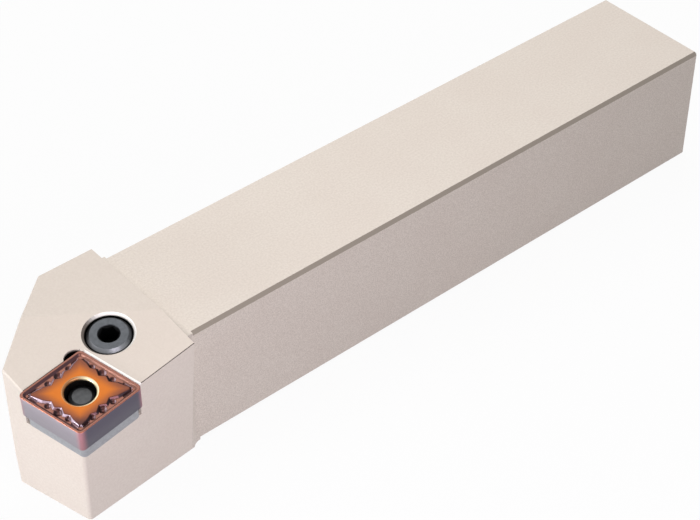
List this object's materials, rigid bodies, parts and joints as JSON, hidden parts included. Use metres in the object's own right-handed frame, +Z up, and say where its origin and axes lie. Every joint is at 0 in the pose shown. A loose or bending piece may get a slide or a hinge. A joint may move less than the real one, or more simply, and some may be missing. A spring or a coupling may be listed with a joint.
{
  "type": "indexable turning tool holder",
  "caption": "Square-shank turning tool holder with an angled cutting head, a lever-clamped rhombic cutting insert on a shim, and a lever screw.",
  "frame": {"origin": "middle of the clamped length of the shank, on its seating face", "axes": "+X along the shank towards the cutting head, +Y towards the insert's side, +Z up from the seating face"},
  "size_m": [0.1532, 0.0319, 0.0283],
  "materials": {
    "holder_steel": "satin nickel plating over fine blasted steel",
    "coated_carbide": "copper-coloured coating, ground flanks",
    "shim_carbide": "ground grey carbide",
    "spring_steel": "plain spring steel",
    "lever_steel": "hardened and blackened",
    "black_steel": "black oxide, satin"
  },
  "bodies": {
    "holder": {"holder": "holder_steel", "insert": "coated_carbide", "shim": "shim_carbide", "shim_pin": "spring_steel"},
    "lever": {"lever": "lever_steel"},
    "lever_screw": {"lever_screw": "black_steel"}
  },
  "joints": [
    {"name": "screw_travel", "type": "slide", "parent": "holder", "child": "lever_screw", "axis": [0.0844, 0.1205, 0.9891], "range_m": [0, 0.00055]},
    {"name": "lever_tilt", "type": "hinge", "parent": "holder", "child": "lever", "pos_m": [0.08341, 0.01102, 0.01337], "axis": [-0.5499, 0.8335, -0.0546], "range_deg": [0, 3.71]}
  ],
  "couplings": [
    {"joint": "lever_tilt", "follows": "screw_travel", "rad_per_m": 117.04}
  ]
}
